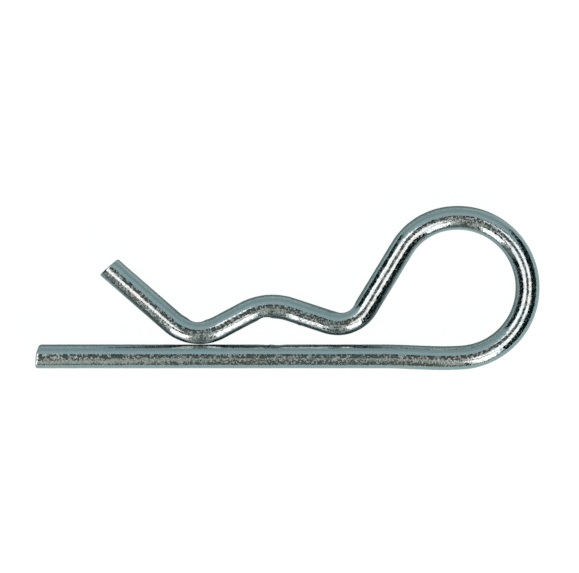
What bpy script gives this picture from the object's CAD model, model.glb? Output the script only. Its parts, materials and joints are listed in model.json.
import json
import math

import bpy
import numpy as np
from mathutils import Matrix, Vector


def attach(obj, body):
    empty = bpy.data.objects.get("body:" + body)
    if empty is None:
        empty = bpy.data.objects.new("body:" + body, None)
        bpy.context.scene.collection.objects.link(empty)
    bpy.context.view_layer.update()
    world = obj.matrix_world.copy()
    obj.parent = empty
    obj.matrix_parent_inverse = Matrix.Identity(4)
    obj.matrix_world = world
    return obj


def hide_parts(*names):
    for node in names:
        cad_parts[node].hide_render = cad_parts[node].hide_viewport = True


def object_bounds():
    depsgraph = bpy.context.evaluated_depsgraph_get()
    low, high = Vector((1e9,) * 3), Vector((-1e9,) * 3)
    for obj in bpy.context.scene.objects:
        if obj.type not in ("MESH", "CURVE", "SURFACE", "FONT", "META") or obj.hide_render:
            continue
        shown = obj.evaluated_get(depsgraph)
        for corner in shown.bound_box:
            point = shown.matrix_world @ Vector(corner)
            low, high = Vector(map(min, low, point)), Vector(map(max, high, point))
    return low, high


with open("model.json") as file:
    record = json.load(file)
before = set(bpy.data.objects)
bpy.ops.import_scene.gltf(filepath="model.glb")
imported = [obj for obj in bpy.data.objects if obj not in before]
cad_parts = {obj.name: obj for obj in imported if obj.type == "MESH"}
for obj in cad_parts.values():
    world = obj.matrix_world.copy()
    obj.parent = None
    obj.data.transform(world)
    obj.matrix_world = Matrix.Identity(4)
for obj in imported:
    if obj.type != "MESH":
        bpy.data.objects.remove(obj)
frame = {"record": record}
cad_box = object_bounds()
centre = (Vector(cad_box[0]) + Vector(cad_box[1])) / 2

MM = 0.001  # lengths are in millimetres, apart from the floor's and the lights', which are in metres

# ---------------------------------------------------------------------------
# Sizes. The frame's mounts give the wire, the straight leg, the eye and the
# saddle. The other bends repeat the CAD model's own driving dimensions.
# ---------------------------------------------------------------------------
mounts = {m["name"]: m for m in frame["record"]["mounts"]}
WIRE_R = mounts["straight_leg"]["dims"]["r_mm"]
LEG_LEN = mounts["straight_leg"]["dims"]["length_mm"]
EYE_R = mounts["eye"]["dims"]["r_mm"] + WIRE_R
SADDLE_R = mounts["shaft_seat"]["dims"]["r_mm"] + WIRE_R
TIP = Vector(mounts["straight_leg"]["pos_m"]) / MM

SET_TURN, SET_R = 2.25, 80
SET_RUN = 4.7
RUN_IN_TURN, RUN_IN_R = 5.75, 55
EYE_TURN, CLOSE_R = 190, 10.6
RISER_SLOPE, HEEL_R = 58.75, 5.6
RAMP_SLOPE, RAMP_LEN = 18.25, 6.5
DROP_SLOPE, DROP_LEN = 28, 5
TOE_R, TOE_GAP = 7, 0.05
LEAD_IN_SLOPE, LEAD_IN_LEN = 41, 14

# Marks of the bending pins: (step of the wire, part of its turn, depth)
PIN_R = 2.3
PIN_MARKS = [(4, 0.45, 0.4), (5, 0.6, 0.3), (6, 0.5, 0.35)]
PIN_SOFT = 0.06  # how softly a mark's edge runs out
PIN_REACH = 1  # how far past a pin the skin still feels it

# Sheared ends. The tip's slant in degrees, then the steeper slant of its second facet and that facet's height
TIP_SLANT, TIP_ROLL, TIP_ROLL_H = 5.25, 18, 1.3
TIP_SOFT = 0.05  # how softly the tip's two facets meet
END_SLANT = 8
ROLL_LEN, ROLL_DROP = 0.45, 0.08  # how far along the wire and how deep a shear rolled the edge over
EDGE_R = 0.1  # rounds the edge of each face
SLANT_LEN = 2.5  # over which the rings turn from square to a face's slant

# Small dings: (step of the wire, distance along it, half length, height, side's angle from the left)
DINGS = [(0, 38.9, 0.5, 0.10, 0), (0, 40.5, 1.3, -0.10, 0), (5, 4.3, 0.5, 0.08, 0)]
DING_SPREAD = 50

# The skin's unevenness: (height, size of its cells, seed)
SKIN_WAVES = [(0.006, 0.55, 3), (0.010, 1.6, 7)]
# Large numbers that scramble a cell's place and seed into its value
HASH_X, HASH_Y, HASH_Z, HASH_SEED = 73856093, 19349663, 83492791, 2654435761
HASH_MIX = 1274126177
HASH_MASK = 0xFFFF

# How fine the swept mesh is
RINGS_STEP = 0.19
AROUND = 96
CAP_RINGS = 10
CAP_START = 0.35  # first ring's place, as a part of the cap's ring spacing
EDGE_RINGS = 4
ROLL_STEP = 0.05

# The zinc. Noise scales are per millimetre
ZINC_TAN = (0.53, 0.55, 0.53, 1)
ZINC_TEAL = (0.49, 0.55, 0.555, 1)
PATCH_SCALE, PATCH_DETAIL, PATCH_ROUGH = 0.22, 3.0, 0.55
PATCH_FROM, PATCH_TO = 0.35, 0.65
PIT_SCALE, PIT_DETAIL, PIT_ROUGH = 2.7, 2.0, 0.5
PIT_FROM, PIT_TO = 0.47, 0.60
SMOOTH_ROUGHNESS, PIT_ROUGHNESS = 0.05, 0.30
PIT_HEIGHT = 0.014

# The stage
FLOOR_COLOR = (0.33, 0.43, 0.43, 1)
FLOOR_HALF = 1.2
FLOOR_GLOW = 1.08
GLOW_SHARE = 0.9  # of what the camera sees of the floor
ROOM_COLOR = (0.005, 0.013, 0.014, 1)

WARM = (1.0, 0.965, 0.975)
TEAL = (0.70, 0.94, 1.0)
OLIVE = (0.92, 1.0, 0.92)
# name, azimuth from +X, angle from the zenith, width, height (degrees), distance (m),
# the azimuth its frame is square to, radiance, colour
PANELS = [
    ("left_overhead", 180, 26.5, 52, 29, 0.90, 180, 1.8, WARM),
    ("right_overhead", -19, 23, 44, 23, 0.90, 0, 1.8, WARM),
    ("left_strip", 242, 70, 22, 50, 0.92, 242, 2.2, WARM),
    ("right_strip", 297, 60, 20, 42, 0.92, 297, 2.2, WARM),
    ("left_fill", 221, 66, 18, 44, 0.92, 221, 0.22, OLIVE),
    ("left_bar", 262, 48, 4, 60, 0.94, 262, 0.5, OLIVE),
    ("right_bar", 278, 48, 4, 60, 0.94, 278, 0.5, OLIVE),
    ("top_panel_high", 90, 37, 80, 32, 1.0, 90, 0.60, TEAL),
    ("top_panel_low", 90, 73, 90, 40, 1.0, 90, 0.46, TEAL),
    ("front_panel", 270, 38, 30, 104, 1.05, 270, 0.115, OLIVE),
]
# Lights the floor alone, from low down. Rims on its side reflect lit floor, the others the wire's shadow
FLOOR_KEY = ("floor_key", 297, 69, 16, 16, 0.90, 297, 85.0, WARM)

# The camera looks straight down
VIEW_WIDTH = 96.9  # across the picture, at the clip
VIEW_CENTRE = (2.86, 11.70)
CAMERA_HEIGHT = 430


# ---------------------------------------------------------------------------
# The wire's centreline, as steps of [feed, turn, bend radius]
# ---------------------------------------------------------------------------
def after_bend(at, turn, rad):
    """The place [x, y, heading] at the end of a bend that starts at one."""
    x, y, h = at
    a, b = math.radians(h), math.radians(h + turn)
    side = math.copysign(rad, turn)
    return [x + side * (math.sin(b) - math.sin(a)), y + side * (math.cos(a) - math.cos(b)), h + turn]


def after_feed(at, feed):
    """The place at the end of a straight stretch that starts at one."""
    x, y, h = at
    return [x + feed * math.cos(math.radians(h)), y + feed * math.sin(math.radians(h)), h]


def after(steps, at):
    """The place at the end of a list of steps."""
    for feed, turn, rad in steps:
        at = after_bend(after_feed(at, feed), turn, rad)
    return at


def wire_steps():
    """The whole wire. The riser is as long as it takes for the toe to bear on the straight leg."""
    close_turn = 180 + RISER_SLOPE + SET_TURN - RUN_IN_TURN - EYE_TURN
    heel_turn = RISER_SLOPE + RAMP_SLOPE
    saddle_turn = RAMP_SLOPE + DROP_SLOPE
    leg_and_eye = [
        (LEG_LEN, -SET_TURN, SET_R),
        (SET_RUN, RUN_IN_TURN, RUN_IN_R),
        (0, EYE_TURN, EYE_R),
        (0, close_turn, CLOSE_R),
    ]
    riser_top = after(leg_and_eye, [0, 0, 0])
    heel_to_contact = [
        (0, -heel_turn, HEEL_R),
        (RAMP_LEN, saddle_turn, SADDLE_R),
        (DROP_LEN, -DROP_SLOPE, TOE_R),
    ]
    contact_rise = after(heel_to_contact, [0, 0, riser_top[2]])[1]
    drop = riser_top[1] + contact_rise - 2 * WIRE_R - TOE_GAP
    riser_len = drop / math.sin(math.radians(RISER_SLOPE))
    return leg_and_eye + [
        (riser_len, -heel_turn, HEEL_R),
        (RAMP_LEN, saddle_turn, SADDLE_R),
        (DROP_LEN, -DROP_SLOPE - LEAD_IN_SLOPE, TOE_R),
        (LEAD_IN_LEN, 0, 1),
    ]


def step_length(step):
    feed, turn, rad = step
    return feed + math.radians(abs(turn)) * rad


STEPS = wire_steps()
START = [TIP.x, TIP.y, 0]
WIRE_LEN = sum(step_length(s) for s in STEPS)


def place_at(s):
    """[x, y, heading] at a distance s along the wire from the tip's axis point."""
    at = START
    for feed, turn, rad in STEPS[:-1]:
        if s <= feed:
            return after_feed(at, s)
        s -= feed
        at = after_feed(at, feed)
        arc = math.radians(abs(turn)) * rad
        if s <= arc:
            return after_bend(at, turn * s / arc, rad)
        s -= arc
        at = after_bend(at, turn, rad)
    return after_feed(at, s)


def pin_centres():
    """Where each bending pin was pressed in, in the wire's plane."""
    out = []
    for i, part, depth in PIN_MARKS:
        feed, turn, rad = STEPS[i]
        at = after_feed(after(STEPS[:i], START), feed)
        x, y, h = after_bend(at, turn * part, rad)
        inward = math.radians(h + math.copysign(90, turn))
        reach = WIRE_R + PIN_R - depth
        out.append((x + reach * math.cos(inward), y + reach * math.sin(inward)))
    return out


def ding_places():
    """Each ding as (distance along the wire, half length, height, side's angle)."""
    out = []
    for i, along, half, height, side in DINGS:
        before = sum(step_length(step) for step in STEPS[:i])
        out.append((before + along, half, height, math.radians(side)))
    return out


# ---------------------------------------------------------------------------
# Smooth seeded noise, for what is too large for a bump
# ---------------------------------------------------------------------------
def corner_value(cell, seed):
    """A repeatable value in -1..1 for each whole-number cell."""
    n = (cell[:, 0] * HASH_X) ^ (cell[:, 1] * HASH_Y) ^ (cell[:, 2] * HASH_Z) ^ (seed * HASH_SEED)
    n = (n ^ (n >> 13)) * HASH_MIX
    return ((n ^ (n >> 16)) & HASH_MASK) / (HASH_MASK / 2) - 1


def lattice_noise(points, size, seed):
    """Smooth value noise in -1..1 at each point, with cells of the given size."""
    p = points / size
    cell = np.floor(p).astype(np.int64)
    f = p - cell
    f = f * f * (3 - 2 * f)
    total = np.zeros(len(points))
    for corner in np.ndindex(2, 2, 2):
        step = np.array(corner)
        weight = np.prod(np.where(step == 1, f, 1 - f), axis=1)
        total += weight * corner_value(cell + step, seed)
    return total


# ---------------------------------------------------------------------------
# The clip's mesh: a fine tube along the centreline with sheared, slightly
# rounded ends, the marks of the bending pins and the skin's small unevenness
# ---------------------------------------------------------------------------
def tip_face(across):
    """How far the sheared tip's face lies along the wire, at a height across it."""
    roll_y = WIRE_R - TIP_ROLL_H
    main = across * math.tan(math.radians(TIP_SLANT))
    kink = roll_y * math.tan(math.radians(TIP_SLANT))
    roll = kink + (across - roll_y) * math.tan(math.radians(TIP_ROLL))
    return main + TIP_SOFT * np.logaddexp(0, (roll - main) / TIP_SOFT)


def end_face(across):
    """The same for the lead-in's end."""
    return across * math.tan(math.radians(END_SLANT))


def rolled_radius(s):
    """The wire's radius at a distance from a sheared face, where the shear has rolled its edge over."""
    left = max(0.0, 1 - s / ROLL_LEN)
    return WIRE_R - ROLL_DROP * left * left


def pull_at(s):
    """How much of the face's slant a ring keeps, falling smoothly to none."""
    left = max(0.0, 1 - s / SLANT_LEN)
    return left * left * (3 - 2 * left)


def end_rings():
    """One end's rings from the face's middle to the side, as (distance, radius, pull towards the face)."""
    rim = rolled_radius(0)
    rings = [(0.0, (k + CAP_START) / CAP_RINGS * (rim - EDGE_R), 1.0) for k in range(CAP_RINGS)]
    for k in range(EDGE_RINGS):
        turn = math.pi / 2 * k / EDGE_RINGS
        rings.append((EDGE_R * (1 - math.cos(turn)), rim - EDGE_R * (1 - math.sin(turn)), 1.0))
    count = int((ROLL_LEN - EDGE_R) / ROLL_STEP)
    for k in range(count):
        s = EDGE_R + (ROLL_LEN - EDGE_R) * k / count
        rings.append((s, rolled_radius(s), pull_at(s)))
    return rings


def section_places():
    """Every ring as (distance along the wire, radius, pull towards a sheared face)."""
    ends = end_rings()
    length = WIRE_LEN - 2 * ROLL_LEN
    count = int(length / RINGS_STEP)
    body = []
    for k in range(count + 1):
        s = ROLL_LEN + length * k / count
        body.append((s, WIRE_R, pull_at(min(s, WIRE_LEN - s))))
    mirrored = [(WIRE_LEN - s, radius, pull) for s, radius, pull in reversed(ends)]
    return ends + body + mirrored


def ding_lift(s, angles):
    """How far the skin is raised at a distance along the wire, for each angle round it."""
    lift = np.zeros(len(angles))
    for at, half, height, side in ding_places():
        along = abs(s - at) / half
        if along < 1:
            off = np.angle(np.exp(1j * (angles - side)))
            round_it = np.clip(1 - np.abs(off) / math.radians(DING_SPREAD), 0, 1)
            lift += height * (1 - along * along) ** 2 * round_it * round_it * (3 - 2 * round_it)
    return lift


def ring_points(s, radius, pull, angles):
    """One ring of the tube, pulled along the wire towards its sheared face."""
    px, py, h = place_at(s)
    hx, hy = math.cos(math.radians(h)), math.sin(math.radians(h))
    reach = radius + ding_lift(s, angles)
    across = reach * np.cos(angles)
    up = reach * np.sin(angles)
    face = tip_face(across) if s < WIRE_LEN / 2 else end_face(across)
    along = pull * face
    return np.stack([px + along * hx - across * hy, py + along * hy + across * hx, up], axis=1)


def press_pins(x, y):
    """Pushes the skin out of the bending pins, with a soft edge."""
    for cx, cy in pin_centres():
        dx, dy = x - cx, y - cy
        dist = np.hypot(dx, dy)
        push = PIN_SOFT * np.logaddexp(0, (PIN_R - dist) / PIN_SOFT)
        push = np.where(dist < PIN_R + PIN_REACH, push, 0)
        x = x + push * dx / dist
        y = y + push * dy / dist
    return x, y


def tube_faces(ring_count):
    """The faces between each ring and the next."""
    faces = []
    for i in range(ring_count - 1):
        a, b = i * AROUND, (i + 1) * AROUND
        for j in range(AROUND):
            k = (j + 1) % AROUND
            faces.append((a + j, a + k, b + k, b + j))
    return faces


def cap_faces(ring_count):
    """The faces from each end's smallest ring to its middle point, which come after all the rings."""
    tip_middle = ring_count * AROUND
    end_middle = tip_middle + 1
    last_ring = tip_middle - AROUND
    faces = []
    for j in range(AROUND):
        k = (j + 1) % AROUND
        faces.append((tip_middle, k, j))
        faces.append((end_middle, last_ring + j, last_ring + k))
    return faces


def clip_mesh():
    rings = section_places()
    angles = np.linspace(0, 2 * math.pi, AROUND, endpoint=False)
    points = np.concatenate([ring_points(*ring, angles) for ring in rings])
    x, y = press_pins(points[:, 0], points[:, 1])
    points = np.stack([x, y, points[:, 2]], axis=1)
    tip_middle = points[:AROUND].mean(axis=0)
    end_middle = points[-AROUND:].mean(axis=0)
    points = np.concatenate([points, tip_middle[None], end_middle[None]])

    mesh = bpy.data.meshes.new("clip_wire")
    faces = tube_faces(len(rings)) + cap_faces(len(rings))
    mesh.from_pydata((points * MM).tolist(), [], faces)
    mesh.validate()
    for polygon in mesh.polygons:
        polygon.use_smooth = True
    mesh.update()
    return mesh


def vertex_values(mesh, attribute):
    """One three-part attribute of every vertex, as rows."""
    values = np.empty(len(mesh.vertices) * 3)
    mesh.vertices.foreach_get(attribute, values)
    return values.reshape(-1, 3)


def uneven_skin(mesh):
    """Orange peel and slow waviness, moved along the normals."""
    co = vertex_values(mesh, "co")
    normals = vertex_values(mesh, "normal")
    lift = sum(height * lattice_noise(co / MM, size, seed) for height, size, seed in SKIN_WAVES)
    co += normals * (lift * MM)[:, None]
    mesh.vertices.foreach_set("co", co.ravel())
    mesh.update()


# ---------------------------------------------------------------------------
# Materials
# ---------------------------------------------------------------------------
def new_material(name):
    mat = bpy.data.materials.new(name)
    mat.use_nodes = True
    nodes, links = mat.node_tree.nodes, mat.node_tree.links
    nodes.clear()
    out = nodes.new("ShaderNodeOutputMaterial")
    return mat, nodes, links, out


def millimetre_coords(nodes, links):
    """The object's own coordinates, in millimetres."""
    coords = nodes.new("ShaderNodeTexCoord")
    in_mm = nodes.new("ShaderNodeVectorMath")
    in_mm.operation = "SCALE"
    in_mm.inputs["Scale"].default_value = 1 / MM
    links.new(coords.outputs["Object"], in_mm.inputs[0])
    return in_mm.outputs["Vector"]


def noise_node(nodes, links, vector, scale, detail, rough):
    node = nodes.new("ShaderNodeTexNoise")
    node.inputs["Scale"].default_value = scale
    node.inputs["Detail"].default_value = detail
    node.inputs["Roughness"].default_value = rough
    links.new(vector, node.inputs["Vector"])
    return node


def patchy_tint(nodes, links, vector, shader):
    """Slow patches of tan and teal."""
    patches = noise_node(nodes, links, vector, PATCH_SCALE, PATCH_DETAIL, PATCH_ROUGH)
    tint = nodes.new("ShaderNodeValToRGB")
    tint.color_ramp.elements[0].position = PATCH_FROM
    tint.color_ramp.elements[0].color = ZINC_TAN
    tint.color_ramp.elements[1].position = PATCH_TO
    tint.color_ramp.elements[1].color = ZINC_TEAL
    links.new(patches.outputs["Fac"], tint.inputs["Fac"])
    links.new(tint.outputs["Color"], shader.inputs["Base Color"])


def fine_pits(nodes, links, vector, shader):
    """Fine pits, which are rougher than the skin between them."""
    pits = noise_node(nodes, links, vector, PIT_SCALE, PIT_DETAIL, PIT_ROUGH)
    rough = nodes.new("ShaderNodeMapRange")
    rough.inputs["From Min"].default_value = PIT_FROM
    rough.inputs["From Max"].default_value = PIT_TO
    rough.inputs["To Min"].default_value = SMOOTH_ROUGHNESS
    rough.inputs["To Max"].default_value = PIT_ROUGHNESS
    links.new(pits.outputs["Fac"], rough.inputs["Value"])
    links.new(rough.outputs["Result"], shader.inputs["Roughness"])

    bump = nodes.new("ShaderNodeBump")
    bump.inputs["Strength"].default_value = 1.0
    bump.inputs["Distance"].default_value = PIT_HEIGHT * MM
    links.new(pits.outputs["Fac"], bump.inputs["Height"])
    links.new(bump.outputs["Normal"], shader.inputs["Normal"])


def zinc_material():
    """Bright zinc plate with a faint teal passivation over pitted wire."""
    mat, nodes, links, out = new_material("zinc_plated_wire")
    shader = nodes.new("ShaderNodeBsdfPrincipled")
    shader.inputs["Metallic"].default_value = 1.0
    links.new(shader.outputs["BSDF"], out.inputs["Surface"])
    vector = millimetre_coords(nodes, links)
    patchy_tint(nodes, links, vector, shader)
    fine_pits(nodes, links, vector, shader)
    return mat


def floor_material():
    """A pale sweep that camera rays see nearly white and all other rays see matt and darker."""
    mat, nodes, links, out = new_material("pale_floor")
    matt = nodes.new("ShaderNodeBsdfDiffuse")
    matt.inputs["Color"].default_value = FLOOR_COLOR
    glow = nodes.new("ShaderNodeEmission")
    glow.inputs["Strength"].default_value = FLOOR_GLOW
    seen = nodes.new("ShaderNodeLightPath")
    share = nodes.new("ShaderNodeMath")
    share.operation = "MULTIPLY"
    share.inputs[1].default_value = GLOW_SHARE
    links.new(seen.outputs["Is Camera Ray"], share.inputs[0])
    mix = nodes.new("ShaderNodeMixShader")
    links.new(share.outputs["Value"], mix.inputs["Fac"])
    links.new(matt.outputs["BSDF"], mix.inputs[1])
    links.new(glow.outputs["Emission"], mix.inputs[2])
    links.new(mix.outputs["Shader"], out.inputs["Surface"])
    return mat


# ---------------------------------------------------------------------------
# The clip, the floor, the lights and the camera
# ---------------------------------------------------------------------------
def add_object(name, data):
    obj = bpy.data.objects.new(name, data)
    bpy.context.scene.collection.objects.link(obj)
    return obj


def add_clip():
    mesh = clip_mesh()
    uneven_skin(mesh)
    mesh.materials.append(zinc_material())
    clip = add_object("clip_wire", mesh)
    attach(clip, "root")
    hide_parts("clip")
    return clip


def add_floor(z):
    mesh = bpy.data.meshes.new("floor")
    half = FLOOR_HALF
    corners = [(-half, -half, z), (half, -half, z), (half, half, z), (-half, half, z)]
    mesh.from_pydata(corners, [], [(0, 1, 2, 3)])
    mesh.materials.append(floor_material())
    floor = add_object("floor", mesh)


def add_softbox(name, azimuth, from_zenith, wide, tall, distance, square_to, radiance, color):
    """A rectangular light that faces the clip. Azimuth 0 is along +X."""
    light = bpy.data.lights.new(name, "AREA")
    light.shape = "RECTANGLE"
    light.size = 2 * distance * math.tan(math.radians(wide / 2))
    light.size_y = 2 * distance * math.tan(math.radians(tall / 2))
    light.color = color
    light.energy = radiance * math.pi * light.size * light.size_y
    obj = add_object(name, light)
    a, b = math.radians(azimuth), math.radians(from_zenith)
    out = Vector((math.sin(b) * math.cos(a), math.sin(b) * math.sin(a), math.cos(b)))
    obj.location = centre + distance * out
    square = math.radians(square_to)
    side = Vector((-math.sin(square), math.cos(square), 0))
    side = (side - side.dot(out) * out).normalized()
    up = out.cross(side)
    obj.rotation_euler = Matrix((side, up, out)).transposed().to_euler()
    return obj


def dark_room():
    world = bpy.data.worlds.new("world")
    bpy.context.scene.world = world
    world.use_nodes = True
    world.node_tree.nodes["Background"].inputs["Color"].default_value = ROOM_COLOR


def add_camera():
    data = bpy.data.cameras.new("camera")
    camera = add_object("camera", data)
    data.lens = data.sensor_width * CAMERA_HEIGHT / VIEW_WIDTH
    camera.location = (VIEW_CENTRE[0] * MM, VIEW_CENTRE[1] * MM, CAMERA_HEIGHT * MM)
    bpy.context.scene.camera = camera
    bpy.context.scene.view_settings.view_transform = "Standard"


clip = add_clip()
add_floor(min(v.co.z for v in clip.data.vertices))
for panel in PANELS:
    add_softbox(*panel)
floor_key = add_softbox(*FLOOR_KEY)
floor_key.visible_glossy = False
dark_room()
add_camera()
